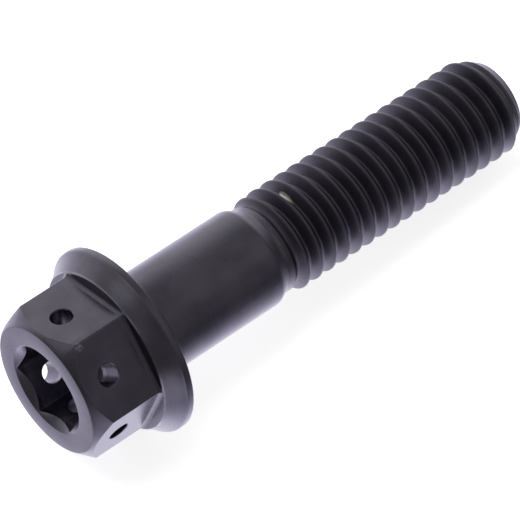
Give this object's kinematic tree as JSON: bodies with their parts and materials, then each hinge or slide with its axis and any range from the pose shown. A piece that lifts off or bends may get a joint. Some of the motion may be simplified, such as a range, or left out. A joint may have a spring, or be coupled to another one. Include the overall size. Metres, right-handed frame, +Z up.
{
  "type": "flanged bolt",
  "caption": "Black coated hex flange bolt with a hex socket, wire holes through the head, a plain shank and a coarse thread.",
  "frame": {"origin": "on the resting plane, under the centre of the bolt's bounding box", "axes": "+Z up from the resting plane; +X along the lying bolt from head to tip; +Y to the left when looking along +X"},
  "size_m": [0.0428, 0.0146, 0.0147],
  "materials": {
    "coated_metal": "satin black coat over titanium"
  },
  "bodies": {
    "root": {"flanged_bolt": "coated_metal"}
  },
  "joints": []
}
